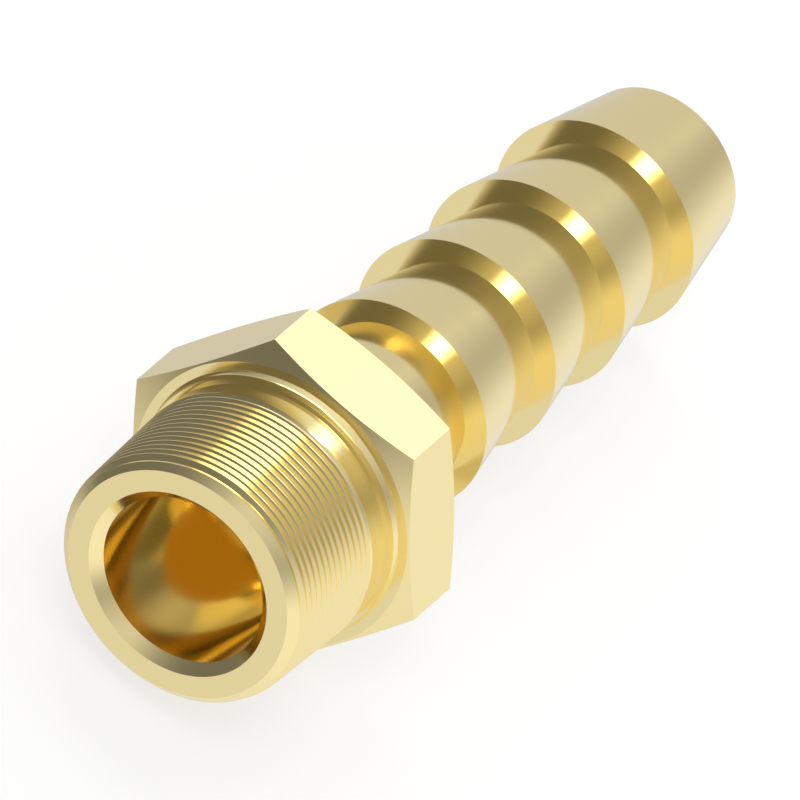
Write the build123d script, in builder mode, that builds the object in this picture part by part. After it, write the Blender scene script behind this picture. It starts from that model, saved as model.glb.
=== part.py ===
from build123d import *
import os
from math import radians, tan

# Brass hose barb tail: taper pipe thread, spanner hexagon and barbed tail, turned from one bar.
# The axis lies along +X. The centre of the threaded end's face is the origin and the hose end
# points to +X. One flat of the hexagon faces down, as the fitting lies on a bench.

# Spanner hexagon
HEX_ACROSS_FLATS = 19.0
HEX_WIDTH = 5.4
HEX_CHAMFER_DIAMETER = 18.75
HEX_CHAMFER_ANGLE = 20.0

# Threaded end, a 3/8 taper pipe thread drawn over the crests
THREADED_END_LENGTH = 10.9
THREAD_GAUGE_DIAMETER = 16.66
THREAD_GAUGE_DISTANCE = 4.76
THREAD_TAPER = 1 / 16
THREAD_LENGTH = 8.57
THREAD_FACE_DIAMETER = 15.0
THREAD_RUNOUT_ANGLE = 60.0

# Relief behind the thread, and the raised seat on the hexagon's front face
RELIEF_DEPTH = 0.2
SEAT_HEIGHT = 0.27
SEAT_DIAMETER = 16.94
SEAT_CHAMFER_ANGLE = 45.0

# Barbed tail: ramps that fall towards the hose end, each with a flat shoulder behind it
BARB_DIAMETER = 13.8
BARB_HEIGHT = 1.5
BARB_PITCH = 8.28
BARB_COUNT = 4
TIP_RAMP_LENGTH = 7.58
TIP_CHAMFER = 0.1

# Bore, drilled from both ends
BORE_DIAMETER = 10.9
BORE_DEPTH = 13.8
DRILL_POINT_ANGLE = 130.0
COUNTERSINK_DIAMETER = 12.2
COUNTERSINK_ANGLE = 90.0
TAIL_BORE_DIAMETER = 6.2
TAIL_BORE_CHAMFER = 0.3

# Places along the axis
hex_front = THREADED_END_LENGTH
hex_back = hex_front + HEX_WIDTH
last_shoulder = hex_back + BARB_COUNT * BARB_PITCH
overall_length = last_shoulder + TIP_RAMP_LENGTH

# Barbs and tip
barb_radius = BARB_DIAMETER / 2
root_radius = barb_radius - BARB_HEIGHT
ramp_slope = BARB_HEIGHT / BARB_PITCH
tip_radius = barb_radius - ramp_slope * TIP_RAMP_LENGTH


def crest_radius(x):
    """Radius over the thread's crests at a distance x from the end face."""
    return THREAD_GAUGE_DIAMETER / 2 + (x - THREAD_GAUGE_DISTANCE) * THREAD_TAPER / 2


# The lead-in is a 45 degree chamfer from the end face up to the crests.
face_radius = THREAD_FACE_DIAMETER / 2
lead_in_length = (crest_radius(0) - face_radius) / (1 - THREAD_TAPER / 2)

# The relief floor lies a little below the last crest, with a steep slope down to it.
relief_radius = crest_radius(THREAD_LENGTH) - RELIEF_DEPTH
runout_length = RELIEF_DEPTH / tan(radians(THREAD_RUNOUT_ANGLE))

# The seat widens towards the hexagon.
seat_radius = SEAT_DIAMETER / 2
seat_foot_radius = seat_radius + SEAT_HEIGHT / tan(radians(SEAT_CHAMFER_ANGLE))

# Hexagon chamfers, as cones that reach past the corners
chamfer_radius = HEX_CHAMFER_DIAMETER / 2
cone_radius = HEX_ACROSS_FLATS * 0.6
cone_drop = (cone_radius - chamfer_radius) * tan(radians(HEX_CHAMFER_ANGLE))

# Bore from the threaded end, with a drill point that meets the bore of the tail
bore_radius = BORE_DIAMETER / 2
mouth_radius = COUNTERSINK_DIAMETER / 2
countersink_depth = (mouth_radius - bore_radius) / tan(radians(COUNTERSINK_ANGLE / 2))
tail_bore_radius = TAIL_BORE_DIAMETER / 2
point_depth = (bore_radius - tail_bore_radius) / tan(radians(DRILL_POINT_ANGLE / 2))

# Threaded end: lead-in, crests of the thread, relief and seat
with BuildPart() as threaded_end:
    with BuildSketch(Plane.XZ):
        with BuildLine():
            Polyline(
                (0, 0),
                (0, face_radius),
                (lead_in_length, crest_radius(lead_in_length)),
                (THREAD_LENGTH, crest_radius(THREAD_LENGTH)),
                (THREAD_LENGTH + runout_length, relief_radius),
                (hex_front - SEAT_HEIGHT, relief_radius),
                (hex_front - SEAT_HEIGHT, seat_radius),
                (hex_front, seat_foot_radius),
                (hex_front, 0),
                close=True,
            )
        make_face()
    revolve(axis=Axis.X)

# Hexagon: a prism whose corners are taken back by a flat cone at each end
with BuildPart() as hexagon:
    with BuildSketch(Plane.YZ.offset(hex_front)):
        RegularPolygon(HEX_ACROSS_FLATS / 2, 6, major_radius=False)
    extrude(amount=HEX_WIDTH)
    with BuildSketch(Plane.XZ):
        with BuildLine():
            Polyline(
                (hex_front, 0),
                (hex_front, chamfer_radius),
                (hex_front + cone_drop, cone_radius),
                (hex_back - cone_drop, cone_radius),
                (hex_back, chamfer_radius),
                (hex_back, 0),
                close=True,
            )
        make_face()
    revolve(axis=Axis.X, mode=Mode.INTERSECT)

# Barbed tail: each ramp falls to its root and stops at the next shoulder
tail_outline = [(hex_back, 0), (hex_back, barb_radius)]
for number in range(1, BARB_COUNT + 1):
    shoulder = hex_back + number * BARB_PITCH
    tail_outline.append((shoulder, root_radius))
    tail_outline.append((shoulder, barb_radius))
tail_outline.append((overall_length - TIP_CHAMFER, tip_radius + ramp_slope * TIP_CHAMFER))
tail_outline.append((overall_length, tip_radius - TIP_CHAMFER))
tail_outline.append((overall_length, 0))

with BuildPart() as barbed_tail:
    with BuildSketch(Plane.XZ):
        with BuildLine():
            Polyline(*tail_outline, close=True)
        make_face()
    revolve(axis=Axis.X)

# The whole fitting, with the bore taken through it
with BuildPart() as hose_barb_tail:
    add(threaded_end.part)
    add(hexagon.part)
    add(barbed_tail.part)
    with BuildSketch(Plane.XZ):
        with BuildLine():
            Polyline(
                (0, 0),
                (0, mouth_radius),
                (countersink_depth, bore_radius),
                (BORE_DEPTH, bore_radius),
                (BORE_DEPTH + point_depth, tail_bore_radius),
                (overall_length - TAIL_BORE_CHAMFER, tail_bore_radius),
                (overall_length, tail_bore_radius + TAIL_BORE_CHAMFER),
                (overall_length, 0),
                close=True,
            )
        make_face()
    revolve(axis=Axis.X, mode=Mode.SUBTRACT)

os.makedirs("parts", exist_ok=True)
hose_barb_tail.part.label = "hose_barb_tail"
export_step(hose_barb_tail.part, "parts/hose_barb_tail.step")
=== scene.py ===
import logging
import math
from dataclasses import dataclass, field
from enum import Enum
from typing import Callable, TypeAlias

import bmesh
import bpy
from mathutils import Matrix, Vector


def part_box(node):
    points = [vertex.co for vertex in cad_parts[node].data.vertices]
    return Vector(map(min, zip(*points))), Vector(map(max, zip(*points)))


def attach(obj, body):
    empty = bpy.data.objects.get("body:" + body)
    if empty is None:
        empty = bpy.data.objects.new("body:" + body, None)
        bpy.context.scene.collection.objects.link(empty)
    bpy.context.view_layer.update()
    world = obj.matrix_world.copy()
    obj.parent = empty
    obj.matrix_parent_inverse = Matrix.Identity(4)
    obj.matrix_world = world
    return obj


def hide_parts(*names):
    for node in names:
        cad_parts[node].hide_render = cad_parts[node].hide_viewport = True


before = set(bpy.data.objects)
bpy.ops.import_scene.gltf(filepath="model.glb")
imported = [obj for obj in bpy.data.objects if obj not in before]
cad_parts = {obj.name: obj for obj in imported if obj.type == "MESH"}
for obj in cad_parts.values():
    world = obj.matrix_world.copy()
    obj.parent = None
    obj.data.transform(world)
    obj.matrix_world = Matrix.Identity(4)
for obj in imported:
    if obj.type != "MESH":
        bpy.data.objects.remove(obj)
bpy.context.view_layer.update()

log = logging.getLogger("hose_barb_tail")

MM = 0.001
NODE = "hose_barb_tail"
PIECE = "brass_fitting"
STEPS = 264  # steps round the axis, a multiple of 12 so that the hexagon's corners fall on them
WELD = 1e-7  # distance at which points count as one

Colour: TypeAlias = tuple[float, float, float]
Triple: TypeAlias = tuple[float, float, float]
Station: TypeAlias = Callable[[float], tuple[float, float]]


class Surface(Enum):
    """Surfaces of the fitting, in the order of their material slots."""

    TURNED = 0
    DRAWN = 1
    THREAD = 2
    BORE = 3


def angle_of(point: Vector) -> float:
    """Angle of a point round the X axis, from +Y towards +Z."""
    return math.atan2(point.z, point.y)


def radius_of(point: Vector) -> float:
    """Distance of a point from the X axis."""
    return math.hypot(point.y, point.z)


def on_axis(x: float, radius: float, angle: float) -> Vector:
    """Point at a distance along the axis, a radius and an angle round it."""
    return Vector((x, radius * math.cos(angle), radius * math.sin(angle)))


def ring(x: float, radius: float) -> Station:
    """Station of a plain turned ring.

    Args:
        x: Distance along the axis.
        radius: Radius of the ring.

    Returns:
        A function from the angle to the ring's distance and radius, the same all round.
    """
    return lambda angle: (x, radius)


@dataclass
class Hexagon:
    """Spanner hexagon, cut by a flat cone at both ends."""

    across_flats: float
    front: float = 10.9 * MM
    width: float = 5.4 * MM
    chamfer_radius: float = 9.375 * MM
    chamfer_angle: float = math.radians(20)

    @property
    def back(self) -> float:
        """Place of the face towards the hose."""
        return self.front + self.width

    def flat_radius(self, angle: float) -> float:
        """Radius of the prism at an angle, with flats up and down.

        Args:
            angle: Angle round the axis, from +Y towards +Z.

        Returns:
            The distance from the axis to the flat that faces that way.
        """
        sector = math.pi / 3
        off_middle = (angle % sector) - sector / 2
        return self.across_flats / 2 / math.cos(off_middle)

    def drop(self, angle: float) -> float:
        """Length that the cone takes off a flat's end at an angle."""
        return (self.flat_radius(angle) - self.chamfer_radius) * math.tan(self.chamfer_angle)

    def stations(self) -> list[Station]:
        """Rings from the front face over the flats to the back face."""
        return [
            ring(self.front, self.chamfer_radius),
            lambda angle: (self.front + self.drop(angle), self.flat_radius(angle)),
            lambda angle: (self.back - self.drop(angle), self.flat_radius(angle)),
            ring(self.back, self.chamfer_radius),
        ]


@dataclass
class PipeThread:
    """Right-hand taper pipe thread with its lead-in, runout and relief."""

    gauge_radius: float = 8.33 * MM
    gauge_distance: float = 4.76 * MM
    taper: float = 1 / 32
    end: float = 8.57 * MM
    face_radius: float = 7.5 * MM
    pitch: float = 0.552 * MM
    crest_width: float = 0.05 * MM
    root_width: float = 0.06 * MM
    depth: float = 0.42 * MM
    fade: float = 0.35
    relief_depth: float = 0.23 * MM
    relief_low: float = 9.3 * MM
    relief_curve: float = 6.0 * MM
    runout_angle: float = math.radians(60)
    join: float = 9.4 * MM
    flank_parts: int = 3
    turns_ahead: float = 1.6

    @property
    def relief_radius(self) -> float:
        """Radius at the relief's lowest point."""
        return self.crest(self.end) - self.relief_depth

    @property
    def runout_length(self) -> float:
        """Length of the slope from the last crest down to the relief."""
        return self.relief_depth / math.tan(self.runout_angle)

    def crest(self, x: float) -> float:
        """Radius over the crests at a distance from the end face."""
        return self.gauge_radius + (x - self.gauge_distance) * self.taper

    def relief(self, x: float) -> float:
        """Radius of the relief, a shallow arc with its lowest point behind the thread."""
        return self.relief_radius + (x - self.relief_low) ** 2 / (2 * self.relief_curve)

    def phases(self) -> list[float]:
        """Places across one pitch where the profile has a point, from 0 to 1."""
        crest = self.crest_width / self.pitch
        root = self.root_width / self.pitch
        flank = (1 - crest - root) / 2
        parts = self.flank_parts
        points = [0.0, crest / 2]
        points += [crest / 2 + flank * (i + 1) / parts for i in range(parts)]
        points += [crest / 2 + flank + root + flank * i / parts for i in range(parts)]
        points += [1 - crest / 2, 1.0]
        return points

    def cut(self, phase: float) -> float:
        """Depth of the groove below the crest.

        Args:
            phase: Place across the pitch, where 0 and 1 are the middle of a crest.

        Returns:
            The depth at that place.
        """
        from_root = abs(phase % 1.0 - 0.5) * self.pitch
        flank = (self.pitch - self.crest_width - self.root_width) / 2
        share = 1 - (from_root - self.root_width / 2) / flank
        return self.depth * min(1.0, max(0.0, share))

    def skin(self, x: float, phase: float) -> float:
        """Radius of the threaded end.

        Args:
            x: Distance from the end face.
            phase: Place across the pitch at that point.

        Returns:
            The radius after the lead-in, the groove and the relief have been cut.
        """
        lead_in = self.face_radius + x
        to_foot = self.end + self.runout_length - x
        runout = self.relief_radius + to_foot * math.tan(self.runout_angle)
        floor = self.relief(max(x, self.end)) - max(0.0, self.end - x) * self.fade
        groove = max(self.crest(x) - self.cut(phase), floor)
        return max(min(groove, lead_in, runout), floor)

    def build(self, bm: bmesh.types.BMesh) -> None:
        """Sweep one pitch of the profile round and along the axis, then cut both ends square.

        Args:
            bm: Mesh to build in, empty so far.
        """
        start = -self.turns_ahead * self.pitch
        turns = math.ceil((self.join - start) / self.pitch) + 1
        places = [start + phase * self.pitch for phase in self.phases()]
        profile = [bm.verts.new((x, self.gauge_radius, 0)) for x in places]
        edges = [bm.edges.new(pair) for pair in zip(profile, profile[1:])]
        bmesh.ops.spin(
            bm,
            geom=profile + edges,
            cent=(0, 0, 0),
            axis=(1, 0, 0),
            dvec=(self.pitch / STEPS, 0, 0),
            angle=math.tau,
            steps=STEPS,
            use_merge=False,
        )
        turn = list(bm.verts) + list(bm.edges) + list(bm.faces)
        for number in range(1, turns):
            made = bmesh.ops.duplicate(bm, geom=turn)["geom"]
            verts = [item for item in made if isinstance(item, bmesh.types.BMVert)]
            bmesh.ops.translate(bm, verts=verts, vec=(number * self.pitch, 0, 0))
        bmesh.ops.remove_doubles(bm, verts=bm.verts, dist=WELD)
        for vert in bm.verts:
            angle = angle_of(vert.co)
            phase = (vert.co.x - start) / self.pitch - angle / math.tau
            vert.co = on_axis(vert.co.x, self.skin(vert.co.x, phase), angle)
        for x, normal in ((0.0, (-1, 0, 0)), (self.join, (1, 0, 0))):
            geom = list(bm.verts) + list(bm.edges) + list(bm.faces)
            bmesh.ops.bisect_plane(
                bm,
                geom=geom,
                dist=WELD,
                plane_co=(x, 0, 0),
                plane_no=normal,
                clear_outer=True,
            )


@dataclass
class Seat:
    """Raised seat behind the thread's relief, which flares up to the hexagon's front face."""

    front: float = 10.12 * MM
    foot_radius: float = 8.778 * MM
    land_angle: float = math.radians(3)
    flare_angle: float = math.radians(27)
    flare_start: float = 10.43 * MM
    flare_curve: float = 0.6 * MM
    relief_parts: int = 10
    flare_parts: int = 12

    def stations(self, foot: float, thread: PipeThread) -> list[Station]:
        """Rings along the relief and over the seat to the hexagon's front face.

        Args:
            foot: Place of the hexagon's front face.
            thread: Thread whose relief runs up to the seat.

        Returns:
            The rings in order.
        """
        low, high = self.land_angle, self.flare_angle
        reach = self.flare_curve * (math.sin(high) - math.sin(low))
        height = self.flare_curve * (math.cos(low) - math.cos(high))
        cone = foot - self.flare_start - reach
        radius = self.foot_radius - cone * math.tan(high) - height
        rings = []
        for number in range(1, self.relief_parts + 1):
            x = thread.join + (self.front - thread.join) * number / self.relief_parts
            rings.append(ring(x, thread.relief(x)))
        land = self.flare_start - self.front
        rings.append(ring(self.front, radius - land * math.tan(low)))
        for number in range(self.flare_parts + 1):
            slope = low + (high - low) * number / self.flare_parts
            along = self.flare_curve * (math.sin(slope) - math.sin(low))
            out = self.flare_curve * (math.cos(low) - math.cos(slope))
            rings.append(ring(self.flare_start + along, radius + out))
        rings.append(ring(foot, self.foot_radius))
        return rings


@dataclass
class HoseTail:
    """Barbed tail: ramps that fall towards the hose, each with a flat shoulder behind it."""

    start: float
    end: float
    barb_radius: float = 6.9 * MM
    barb_height: float = 1.5 * MM
    pitch: float = 8.28 * MM
    count: int = 4
    tip_chamfer: float = 0.1 * MM

    def stations(self) -> list[Station]:
        """Rings from the hexagon's back face to the end of the tail."""
        root = self.barb_radius - self.barb_height
        rings = [ring(self.start, self.barb_radius)]
        for number in range(1, self.count + 1):
            shoulder = self.start + number * self.pitch
            rings += [ring(shoulder, root), ring(shoulder, self.barb_radius)]
        slope = self.barb_height / self.pitch
        last_shoulder = self.start + self.count * self.pitch
        tip = self.barb_radius - (self.end - last_shoulder) * slope
        rings.append(ring(self.end - self.tip_chamfer, tip + self.tip_chamfer * slope))
        rings.append(ring(self.end, tip - self.tip_chamfer))
        return rings


@dataclass
class Bore:
    """Through bore, drilled from both ends, with a drill point between its two sizes."""

    end: float
    radius: float = 5.45 * MM
    depth: float = 13.8 * MM
    mouth_radius: float = 6.1 * MM
    point_angle: float = math.radians(65)
    tail_radius: float = 3.1 * MM
    tail_chamfer: float = 0.3 * MM

    def stations(self) -> list[Station]:
        """Rings from the end of the tail, through the bore, to the mouth in the end face."""
        point = (self.radius - self.tail_radius) / math.tan(self.point_angle)
        return [
            ring(self.end, self.tail_radius + self.tail_chamfer),
            ring(self.end - self.tail_chamfer, self.tail_radius),
            ring(self.depth + point, self.tail_radius),
            ring(self.depth, self.radius),
            ring(self.mouth_radius - self.radius, self.radius),
            ring(0.0, self.mouth_radius),
        ]


@dataclass(frozen=True)
class TurningMarks:
    """Fine tool marks that run round a turned surface or along a drawn flat."""

    spacing: float = 0.09 * MM
    height: float = 0.0006 * MM
    roughness_spread: float = 0.05
    along_axis: bool = False
    flat_reach: float = 10 * MM

    @staticmethod
    def group() -> bpy.types.NodeTree:
        """Build the node group once, with its sockets.

        Returns:
            The group: fine marks across a coordinate, put out as a height and a mask.
        """
        name = "tool_marks"
        if name in bpy.data.node_groups:
            return bpy.data.node_groups[name]
        tree = bpy.data.node_groups.new(name, "ShaderNodeTree")
        sockets = tree.interface
        sockets.new_socket("Across", in_out="INPUT", socket_type="NodeSocketFloat")
        sockets.new_socket("Spacing", in_out="INPUT", socket_type="NodeSocketFloat")
        sockets.new_socket("Marks", in_out="OUTPUT", socket_type="NodeSocketFloat")
        sockets.new_socket("Drift", in_out="OUTPUT", socket_type="NodeSocketFloat")
        nodes, links = tree.nodes, tree.links
        inside, outside = nodes.new("NodeGroupInput"), nodes.new("NodeGroupOutput")
        ratio = nodes.new("ShaderNodeMath")
        ratio.operation = "DIVIDE"
        links.new(inside.outputs["Across"], ratio.inputs[0])
        links.new(inside.outputs["Spacing"], ratio.inputs[1])
        for output, scale, detail in (("Marks", 1.0, 3.0), ("Drift", 0.07, 1.0)):
            noise = nodes.new("ShaderNodeTexNoise")
            noise.noise_dimensions = "1D"
            noise.inputs["Scale"].default_value = scale
            noise.inputs["Detail"].default_value = detail
            links.new(ratio.outputs[0], noise.inputs["W"])
            links.new(noise.outputs["Fac"], outside.inputs[output])
        return tree


@dataclass(frozen=True)
class BrassFinish:
    """One finish of the brass, as a node material."""

    name: str
    colour: Colour = (0.95, 0.80, 0.41)
    roughness: float = 0.12
    marks: TurningMarks = field(default_factory=TurningMarks)
    # painted glow that stands in for the light many reflections bring into a deep bore
    deep_light: Colour = (0.0, 0.0, 0.0)
    deep_after: float = 4.5
    deep_from: float = 1.0 * MM
    deep_full: float = 16.0 * MM

    def material(self) -> bpy.types.Material:
        """Build the material.

        Returns:
            Metal whose roughness and normal carry the tool marks.
        """
        material = bpy.data.materials.new(self.name)
        material.use_nodes = True
        nodes, links = material.node_tree.nodes, material.node_tree.links
        shader = nodes["Principled BSDF"]
        shader.inputs["Metallic"].default_value = 1.0
        shader.inputs["Base Color"].default_value = (*self.colour, 1.0)

        across = self._across(nodes, links)
        group = nodes.new("ShaderNodeGroup")
        group.node_tree = TurningMarks.group()
        group.inputs["Spacing"].default_value = self.marks.spacing
        links.new(across, group.inputs["Across"])

        spread = nodes.new("ShaderNodeMapRange")
        either_side = self.marks.roughness_spread / 2
        spread.inputs["To Min"].default_value = self.roughness - either_side
        spread.inputs["To Max"].default_value = self.roughness + either_side
        links.new(group.outputs["Drift"], spread.inputs["Value"])
        links.new(spread.outputs["Result"], shader.inputs["Roughness"])

        bump = nodes.new("ShaderNodeBump")
        bump.inputs["Strength"].default_value = 1.0
        bump.inputs["Distance"].default_value = self.marks.height
        links.new(group.outputs["Marks"], bump.inputs["Height"])
        links.new(bump.outputs["Normal"], shader.inputs["Normal"])
        if any(self.deep_light):
            self._add_deep_light(nodes, links, shader)
        return material

    def _add_deep_light(
        self, nodes: bpy.types.Nodes, links: bpy.types.NodeLinks, shader: bpy.types.Node
    ) -> None:
        """Stand in for the light that only many reflections bring into a deep bore.

        Args:
            nodes: Nodes of the material.
            links: Links of the material.
            shader: Shader of the material.
        """
        paths = nodes.new("ShaderNodeLightPath")
        late = nodes.new("ShaderNodeMath")
        late.operation = "GREATER_THAN"
        late.inputs[1].default_value = self.deep_after
        links.new(paths.outputs["Ray Depth"], late.inputs[0])
        place = nodes.new("ShaderNodeTexCoord")
        split = nodes.new("ShaderNodeSeparateXYZ")
        links.new(place.outputs["Object"], split.inputs["Vector"])
        depth = nodes.new("ShaderNodeMapRange")
        depth.inputs["From Min"].default_value = self.deep_from
        depth.inputs["From Max"].default_value = self.deep_full
        links.new(split.outputs["X"], depth.inputs["Value"])
        share = nodes.new("ShaderNodeMath")
        share.operation = "MULTIPLY"
        links.new(late.outputs[0], share.inputs[0])
        links.new(depth.outputs["Result"], share.inputs[1])
        glow = nodes.new("ShaderNodeMix")
        glow.data_type = "RGBA"
        links.new(share.outputs[0], glow.inputs["Factor"])
        glow.inputs["A"].default_value = (0.0, 0.0, 0.0, 1.0)
        glow.inputs["B"].default_value = (*self.deep_light, 1.0)
        links.new(glow.outputs["Result"], shader.inputs["Emission Color"])
        shader.inputs["Emission Strength"].default_value = 1.0

    def _across(self, nodes: bpy.types.Nodes, links: bpy.types.NodeLinks) -> bpy.types.NodeSocket:
        """Coordinate that the marks lie across.

        Args:
            nodes: Nodes of the material.
            links: Links of the material.

        Returns:
            Distance along the axis plus radius for turned faces, or distance across a flat.
        """
        place = nodes.new("ShaderNodeTexCoord")
        split = nodes.new("ShaderNodeSeparateXYZ")
        links.new(place.outputs["Object"], split.inputs["Vector"])
        if self.marks.along_axis:
            angle = nodes.new("ShaderNodeMath")
            angle.operation = "ARCTAN2"
            links.new(split.outputs["Z"], angle.inputs[0])
            links.new(split.outputs["Y"], angle.inputs[1])
            arc = nodes.new("ShaderNodeMath")
            arc.operation = "MULTIPLY"
            arc.inputs[1].default_value = self.marks.flat_reach
            links.new(angle.outputs[0], arc.inputs[0])
            return arc.outputs[0]
        flat = nodes.new("ShaderNodeCombineXYZ")
        links.new(split.outputs["Y"], flat.inputs["Y"])
        links.new(split.outputs["Z"], flat.inputs["Z"])
        radius = nodes.new("ShaderNodeVectorMath")
        radius.operation = "LENGTH"
        links.new(flat.outputs["Vector"], radius.inputs[0])
        total = nodes.new("ShaderNodeMath")
        total.operation = "ADD"
        links.new(split.outputs["X"], total.inputs[0])
        links.new(radius.outputs["Value"], total.inputs[1])
        return total.outputs[0]


@dataclass
class Fitting:
    """The whole brass fitting: one turned and milled piece, as one closed mesh."""

    length: float
    across_flats: float
    edge_radius: float = 0.045 * MM
    edge_segments: int = 3
    bevel_angle: float = math.radians(16)
    sharp_angle: float = math.radians(2.5)
    bore_margin: float = 0.2 * MM
    facing_tail: float = 0.3
    facing_out: float = 0.98
    thread: PipeThread = field(default_factory=PipeThread)
    seat: Seat = field(default_factory=Seat)

    def __post_init__(self) -> None:
        """Set the parts that follow from the overall sizes."""
        self.hexagon = Hexagon(self.across_flats)
        self.tail = HoseTail(self.hexagon.back, self.length)
        self.bore = Bore(self.length)

    def build(self) -> bpy.types.Object:
        """Build the fitting in place of its CAD node.

        Returns:
            The finished object, riding on the root body.
        """
        bm = bmesh.new()
        self.thread.build(bm)
        loops = self._open_loops(bm)
        stations = self.seat.stations(self.hexagon.front, self.thread)
        stations += self.hexagon.stations() + self.tail.stations() + self.bore.stations()
        loop = loops["rear"]
        for station in stations:
            loop = self._extend(bm, loop, station)
        bmesh.ops.bridge_loops(bm, edges=loops["front"] + loop)
        bmesh.ops.recalc_face_normals(bm, faces=bm.faces)
        self._soften_edges(bm)
        self._mark_surfaces(bm)
        return self._finish(bm)

    @staticmethod
    def _open_loops(bm: bmesh.types.BMesh) -> dict[str, list[bmesh.types.BMEdge]]:
        """Boundary loops that the thread's sweep leaves at its two ends."""
        rim = [edge for edge in bm.edges if edge.is_boundary]
        middle = sum(vert.co.x for vert in bm.verts) / len(bm.verts)
        return {
            "front": [edge for edge in rim if edge.verts[0].co.x < middle],
            "rear": [edge for edge in rim if edge.verts[0].co.x > middle],
        }

    @staticmethod
    def _extend(
        bm: bmesh.types.BMesh, loop: list[bmesh.types.BMEdge], station: Station
    ) -> list[bmesh.types.BMEdge]:
        """Extrude a loop to the next ring of the outline.

        Args:
            bm: Mesh that holds the loop.
            loop: Edges of the open loop.
            station: Where the next ring lies at each angle.

        Returns:
            Edges of the new loop.
        """
        made = bmesh.ops.extrude_edge_only(bm, edges=loop)["geom"]
        for vert in (item for item in made if isinstance(item, bmesh.types.BMVert)):
            angle = angle_of(vert.co)
            x, radius = station(angle)
            vert.co = on_axis(x, radius, angle)
        return [item for item in made if isinstance(item, bmesh.types.BMEdge)]

    @staticmethod
    def _turns(edge: bmesh.types.BMEdge, angle: float) -> bool:
        """Whether the faces at an edge meet at more than an angle."""
        return len(edge.link_faces) == 2 and edge.calc_face_angle() > angle

    def _soften_edges(self, bm: bmesh.types.BMesh) -> None:
        """Round every outer edge outside the thread by the same small radius."""
        last_crest = self.thread.end - self.thread.pitch / 2
        face_reach = self.thread.face_radius + self.edge_radius
        edges = []
        for edge in bm.edges:
            low = min(vert.co.x for vert in edge.verts)
            radius = radius_of(edge.verts[0].co)
            on_end_face = radius < face_reach and low < self.edge_radius / 2
            in_bore = radius < self.bore.mouth_radius
            off_thread = low > last_crest or in_bore or on_end_face
            if off_thread and edge.is_convex and self._turns(edge, self.bevel_angle):
                edges.append(edge)
        bmesh.ops.bevel(
            bm,
            geom=edges,
            offset=self.edge_radius,
            offset_type="OFFSET",
            segments=self.edge_segments,
            profile=0.5,
            affect="EDGES",
            material=-1,
            clamp_overlap=True,
        )

    def _surface_of(self, face: bmesh.types.BMFace) -> Surface:
        """Surface that a face belongs to.

        Args:
            face: Face of the closed mesh, with its normal outward.

        Returns:
            The surface, found from where the face lies and which way it looks.
        """
        middle, normal = face.calc_center_median(), face.normal
        radius = radius_of(middle)
        inward = normal.y * middle.y + normal.z * middle.z < 0
        near_axis = radius < self.bore.mouth_radius - self.bore_margin
        if near_axis and inward and normal.dot(middle) < self.facing_tail * radius:
            return Surface.BORE
        outward = math.hypot(normal.y, normal.z) > self.facing_out
        if radius > self.hexagon.chamfer_radius and outward:
            return Surface.DRAWN
        if middle.x < self.thread.end and radius > self.thread.face_radius:
            return Surface.THREAD
        return Surface.TURNED

    def _mark_surfaces(self, bm: bmesh.types.BMesh) -> None:
        """Give each face its finish, and keep an edge sharp where two faces meet at an angle."""
        for face in bm.faces:
            face.smooth = True
            face.material_index = self._surface_of(face).value
        for edge in bm.edges:
            edge.smooth = not self._turns(edge, self.sharp_angle)

    def _finish(self, bm: bmesh.types.BMesh) -> bpy.types.Object:
        """Turn the mesh into the shown piece.

        Args:
            bm: The closed mesh.

        Returns:
            The object, dressed and declared to the frame.
        """
        open_edges = sum(not edge.is_manifold for edge in bm.edges)
        log.info("fitting: %d faces, %d open edges", len(bm.faces), open_edges)
        mesh = bpy.data.meshes.new(PIECE)
        bm.to_mesh(mesh)
        bm.free()
        piece = bpy.data.objects.new(PIECE, mesh)
        bpy.context.scene.collection.objects.link(piece)
        for finish in self.finishes():
            mesh.materials.append(finish.material())
        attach(piece, "root")
        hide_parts(NODE)
        return piece

    @staticmethod
    def finishes() -> list[BrassFinish]:
        """Finishes in the order of their slots."""
        return [
            BrassFinish("brass_turned"),
            BrassFinish("brass_drawn", marks=TurningMarks(spacing=0.3 * MM, along_axis=True)),
            BrassFinish("brass_thread", marks=TurningMarks(height=0.0002 * MM)),
            # the bore's finish carries a painted glow that stands in for light from many
            # reflections
            BrassFinish("brass_bore", deep_light=(0.50, 0.41, 0.30)),
        ]


def facing(azimuth: float, elevation: float) -> Vector:
    """Unit vector towards an azimuth and elevation in degrees."""
    turn, rise = math.radians(azimuth), math.radians(elevation)
    level = math.cos(rise)
    return Vector((level * math.cos(turn), level * math.sin(turn), math.sin(rise)))


@dataclass(frozen=True)
class Panel:
    """A large round panel of the studio with a soft edge, lighter or darker than the room."""

    name: str
    azimuth: float
    elevation: float
    edge: float
    softness: float
    level: float
    slope: float = 0.0


@dataclass(frozen=True)
class LampEdge:
    """One edge of a lamp, seen from the fitting: a plane with the lamp on its inward side."""

    inward: Triple
    reach: float
    softness: float


@dataclass(frozen=True)
class Lamp:
    """A soft lamp overhead, as the part of the sky that its edges enclose."""

    name: str
    level: float
    edges: tuple[LampEdge, ...]


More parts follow.
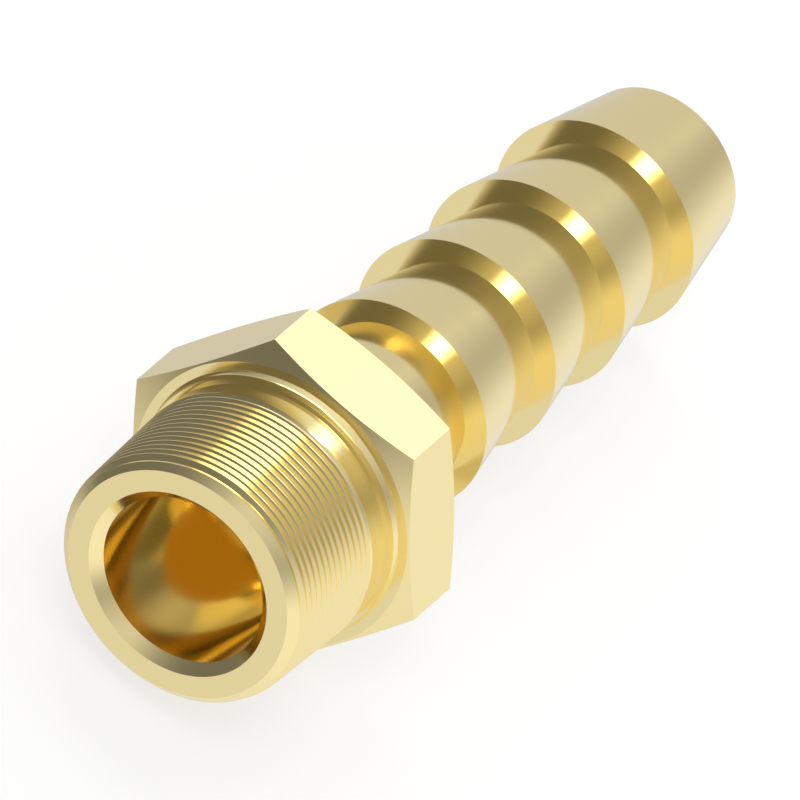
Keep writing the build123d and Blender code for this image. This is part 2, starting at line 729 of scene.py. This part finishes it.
ABOVE = LampEdge((0, 0, 1), -0.15, 0.05)
FRONT_LAMP = Lamp("front_lamp", 6.5, (
    LampEdge((0, 1, 0), 0.19, 0.13),
    LampEdge((0, -1, 0), 0.13, 0.13),
    LampEdge((0.88, 0, 0.475), 0.112, 0.06),
    LampEdge((-0.88, 0, -0.475), 0.189, 0.06),
    ABOVE,
))
REAR_LAMP = Lamp("rear_lamp", 2.3, (
    LampEdge((0, 1, 0), 0.145, 0.11),
    LampEdge((0, -1, 0), 0.115, 0.11),
    LampEdge((-0.719, 0, 0.695), 0.345, 0.04),
    LampEdge((0.719, 0, -0.695), 0.17, 0.04),
    ABOVE,
))
SIDE_LAMP = Lamp("side_lamp", 4.6, (
    LampEdge((-0.528, 0.847, 0.059), 0.0, 0.03),
    LampEdge((0.241, -0.681, 0.691), 0.0, 0.03),
    LampEdge((1, 0, 0), -0.26, 0.04),
    LampEdge((-1, 0, 0), 0.43, 0.03),
    ABOVE,
))


@dataclass
class Studio:
    """Light room, pale floor and three soft lamps overhead."""

    floor_height: float
    floor_size: float = 6.0
    room_level: float = 0.50
    room_rise: Triple = (0.0, 0.34, 0.40)
    panels: tuple[Panel, ...] = (
        Panel("dark_doorway", 128, -13, 0.41, 0.50, 0.18),
        Panel("pale_ground", -89, -59, 0.19, 0.32, 0.82, -0.19),
        Panel("side_wall", 36, -10, 0.69, 0.06, 0.665),
    )
    lamps: tuple[Lamp, ...] = (FRONT_LAMP, REAR_LAMP, SIDE_LAMP)
    floor_colour: Colour = (0.3, 0.3, 0.3)
    floor_glow: float = 0.72

    def build(self) -> None:
        """Make the world and the floor."""
        self._world()
        self._floor()

    @staticmethod
    def _panel_group() -> bpy.types.NodeTree:
        """Node group that lays one panel over the light of the room.

        Returns:
            The group, with the light before and after the panel.
        """
        tree = bpy.data.node_groups.new("studio_panel", "ShaderNodeTree")
        sockets = tree.interface
        for name in ("Light", "Edge Low", "Edge High", "Level", "Slope"):
            sockets.new_socket(name, in_out="INPUT", socket_type="NodeSocketFloat")
        for name in ("Direction", "Facing"):
            sockets.new_socket(name, in_out="INPUT", socket_type="NodeSocketVector")
        sockets.new_socket("Light", in_out="OUTPUT", socket_type="NodeSocketFloat")
        nodes, links = tree.nodes, tree.links
        inside, outside = nodes.new("NodeGroupInput"), nodes.new("NodeGroupOutput")
        dot = nodes.new("ShaderNodeVectorMath")
        dot.operation = "DOT_PRODUCT"
        links.new(inside.outputs["Direction"], dot.inputs[0])
        links.new(inside.outputs["Facing"], dot.inputs[1])
        mask = nodes.new("ShaderNodeMapRange")
        mask.interpolation_type = "SMOOTHSTEP"
        links.new(dot.outputs["Value"], mask.inputs["Value"])
        links.new(inside.outputs["Edge Low"], mask.inputs["From Min"])
        links.new(inside.outputs["Edge High"], mask.inputs["From Max"])
        split = nodes.new("ShaderNodeSeparateXYZ")
        links.new(inside.outputs["Direction"], split.inputs["Vector"])
        level = nodes.new("ShaderNodeMath")
        level.operation = "MULTIPLY_ADD"
        links.new(split.outputs["Y"], level.inputs[0])
        links.new(inside.outputs["Slope"], level.inputs[1])
        links.new(inside.outputs["Level"], level.inputs[2])
        mix = nodes.new("ShaderNodeMix")
        links.new(mask.outputs["Result"], mix.inputs["Factor"])
        links.new(inside.outputs["Light"], mix.inputs["A"])
        links.new(level.outputs[0], mix.inputs["B"])
        links.new(mix.outputs["Result"], outside.inputs["Light"])
        return tree

    @staticmethod
    def _edge_group() -> bpy.types.NodeTree:
        """Node group that cuts a lamp's mask off at one soft edge.

        Returns:
            The group, with the mask before and after the cut.
        """
        tree = bpy.data.node_groups.new("lamp_edge", "ShaderNodeTree")
        sockets = tree.interface
        before = sockets.new_socket("Mask", in_out="INPUT", socket_type="NodeSocketFloat")
        before.default_value = 1.0
        for name in ("Low", "High"):
            sockets.new_socket(name, in_out="INPUT", socket_type="NodeSocketFloat")
        for name in ("Direction", "Inward"):
            sockets.new_socket(name, in_out="INPUT", socket_type="NodeSocketVector")
        sockets.new_socket("Mask", in_out="OUTPUT", socket_type="NodeSocketFloat")
        nodes, links = tree.nodes, tree.links
        inside, outside = nodes.new("NodeGroupInput"), nodes.new("NodeGroupOutput")
        dot = nodes.new("ShaderNodeVectorMath")
        dot.operation = "DOT_PRODUCT"
        links.new(inside.outputs["Direction"], dot.inputs[0])
        links.new(inside.outputs["Inward"], dot.inputs[1])
        window = nodes.new("ShaderNodeMapRange")
        window.interpolation_type = "SMOOTHSTEP"
        links.new(dot.outputs["Value"], window.inputs["Value"])
        links.new(inside.outputs["Low"], window.inputs["From Min"])
        links.new(inside.outputs["High"], window.inputs["From Max"])
        cut = nodes.new("ShaderNodeMath")
        cut.operation = "MULTIPLY"
        links.new(inside.outputs["Mask"], cut.inputs[0])
        links.new(window.outputs["Result"], cut.inputs[1])
        links.new(cut.outputs[0], outside.inputs["Mask"])
        return tree

    def _world(self) -> None:
        """Light the fitting from the room, behind a white background for the camera."""
        world = bpy.data.worlds.new("studio")
        bpy.context.scene.world = world
        world.use_nodes = True
        nodes, links = world.node_tree.nodes, world.node_tree.links
        nodes.clear()
        direction = nodes.new("ShaderNodeTexCoord").outputs["Generated"]
        light = self._room(nodes, links, direction)
        light = self._add_panels(nodes, links, direction, light)
        light = self._add_lamps(nodes, links, direction, light)
        paths = nodes.new("ShaderNodeLightPath")
        shown = nodes.new("ShaderNodeMix")
        links.new(paths.outputs["Is Camera Ray"], shown.inputs["Factor"])
        links.new(light, shown.inputs["A"])
        shown.inputs["B"].default_value = 1.0
        background = nodes.new("ShaderNodeBackground")
        background.inputs["Color"].default_value = (1.0, 1.0, 1.0, 1.0)
        links.new(shown.outputs["Result"], background.inputs["Strength"])
        output = nodes.new("ShaderNodeOutputWorld")
        links.new(background.outputs["Background"], output.inputs["Surface"])

    def _room(
        self, nodes: bpy.types.Nodes, links: bpy.types.NodeLinks, direction: bpy.types.NodeSocket
    ) -> bpy.types.NodeSocket:
        """Plain light of the room, which rises evenly towards one side.

        Args:
            nodes: Nodes of the world.
            links: Links of the world.
            direction: Direction that is looked up.

        Returns:
            The light from that direction.
        """
        rise = nodes.new("ShaderNodeVectorMath")
        rise.operation = "DOT_PRODUCT"
        rise.inputs[1].default_value = self.room_rise
        links.new(direction, rise.inputs[0])
        room = nodes.new("ShaderNodeMath")
        room.inputs[1].default_value = self.room_level
        links.new(rise.outputs["Value"], room.inputs[0])
        return room.outputs[0]

    def _add_panels(
        self,
        nodes: bpy.types.Nodes,
        links: bpy.types.NodeLinks,
        direction: bpy.types.NodeSocket,
        light: bpy.types.NodeSocket,
    ) -> bpy.types.NodeSocket:
        """Lay the panels over the light, one after the other.

        Args:
            nodes: Nodes of the world.
            links: Links of the world.
            direction: Direction that is looked up.
            light: Light before the panels.

        Returns:
            The light with the panels.
        """
        tree = self._panel_group()
        for panel in self.panels:
            node = nodes.new("ShaderNodeGroup")
            node.node_tree = tree
            node.label = panel.name
            node.inputs["Facing"].default_value = facing(panel.azimuth, panel.elevation)
            node.inputs["Edge Low"].default_value = panel.edge - panel.softness
            node.inputs["Edge High"].default_value = panel.edge + panel.softness
            node.inputs["Level"].default_value = panel.level
            node.inputs["Slope"].default_value = panel.slope
            links.new(direction, node.inputs["Direction"])
            links.new(light, node.inputs["Light"])
            light = node.outputs["Light"]
        return light

    def _add_lamps(
        self,
        nodes: bpy.types.Nodes,
        links: bpy.types.NodeLinks,
        direction: bpy.types.NodeSocket,
        light: bpy.types.NodeSocket,
    ) -> bpy.types.NodeSocket:
        """Lay the lamps over the light, each cut out by its own edges.

        Args:
            nodes: Nodes of the world.
            links: Links of the world.
            direction: Direction that is looked up.
            light: Light before the lamps.

        Returns:
            The light with the lamps.
        """
        tree = self._edge_group()
        for lamp in self.lamps:
            mask = None
            for edge in lamp.edges:
                node = nodes.new("ShaderNodeGroup")
                node.node_tree = tree
                node.label = lamp.name
                node.inputs["Inward"].default_value = edge.inward
                node.inputs["Low"].default_value = -edge.reach - edge.softness
                node.inputs["High"].default_value = -edge.reach + edge.softness
                links.new(direction, node.inputs["Direction"])
                if mask is not None:
                    links.new(mask, node.inputs["Mask"])
                mask = node.outputs["Mask"]
            mix = nodes.new("ShaderNodeMix")
            links.new(mask, mix.inputs["Factor"])
            links.new(light, mix.inputs["A"])
            mix.inputs["B"].default_value = lamp.level
            light = mix.outputs["Result"]
        return light

    def _floor(self) -> None:
        """Pale floor that the camera sees with the fitting's soft shadow on it."""
        bm = bmesh.new()
        bmesh.ops.create_grid(bm, x_segments=1, y_segments=1, size=self.floor_size / 2)
        bmesh.ops.translate(bm, verts=bm.verts, vec=(0, 0, self.floor_height))
        mesh = bpy.data.meshes.new("floor")
        bm.to_mesh(mesh)
        bm.free()
        mesh.materials.append(self._floor_material())
        floor = bpy.data.objects.new("floor", mesh)
        bpy.context.scene.collection.objects.link(floor)
        log.info("floor: %.1f m wide", self.floor_size)

    def _floor_material(self) -> bpy.types.Material:
        """Matt, faintly lit surface that only the camera sees.

        Returns:
            The material of the floor.
        """
        material = bpy.data.materials.new("pale_floor")
        material.use_nodes = True
        nodes, links = material.node_tree.nodes, material.node_tree.links
        nodes.clear()
        matt = nodes.new("ShaderNodeBsdfDiffuse")
        matt.inputs["Color"].default_value = (*self.floor_colour, 1.0)
        glow = nodes.new("ShaderNodeEmission")
        glow.inputs["Strength"].default_value = self.floor_glow
        both = nodes.new("ShaderNodeAddShader")
        links.new(matt.outputs[0], both.inputs[0])
        links.new(glow.outputs[0], both.inputs[1])
        clear = nodes.new("ShaderNodeBsdfTransparent")
        paths = nodes.new("ShaderNodeLightPath")
        choice = nodes.new("ShaderNodeMixShader")
        links.new(paths.outputs["Is Camera Ray"], choice.inputs[0])
        links.new(clear.outputs[0], choice.inputs[1])
        links.new(both.outputs[0], choice.inputs[2])
        output = nodes.new("ShaderNodeOutputMaterial")
        links.new(choice.outputs[0], output.inputs["Surface"])
        return material


@dataclass
class LongLensCamera:
    """Camera that stands far off with a long lens, at the photograph's viewing angle."""

    aim: Triple = (21.945 * MM, -1.004 * MM, 3.221 * MM)
    azimuth: float = math.radians(-170.49)
    elevation: float = math.radians(40.656)
    roll: float = math.radians(34.689)
    distance: float = 2.2462
    lens: float = 1700.0
    sensor: float = 36.0
    clip: tuple[float, float] = (0.1, 10.0)

    def build(self) -> None:
        """Make the camera and set it as the scene's."""
        data = bpy.data.cameras.new("camera")
        data.lens = self.lens
        data.sensor_width = self.sensor
        data.clip_start, data.clip_end = self.clip
        camera = bpy.data.objects.new("camera", data)
        flat = math.cos(self.elevation)
        back = Vector((
            flat * math.cos(self.azimuth),
            flat * math.sin(self.azimuth),
            math.sin(self.elevation),
        ))
        level = (-back).to_track_quat("-Z", "Y").to_matrix()
        turned = level @ Matrix.Rotation(self.roll, 3, "Z")
        place = Matrix.Translation(Vector(self.aim) + back * self.distance)
        camera.matrix_world = place @ turned.to_4x4()
        bpy.context.scene.collection.objects.link(camera)
        bpy.context.scene.camera = camera


def main() -> None:
    """Build the fitting, the studio and the camera."""
    logging.basicConfig(level=logging.INFO, format="%(name)s %(message)s")
    low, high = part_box(NODE)
    fitting = Fitting(length=high.x - low.x, across_flats=high.z - low.z)
    piece = fitting.build()
    log.info("%s: %d polygons", piece.name, len(piece.data.polygons))
    Studio(floor_height=low.z).build()
    LongLensCamera().build()
    bpy.context.scene.view_settings.view_transform = "Standard"


if __name__ == "__main__":
    main()
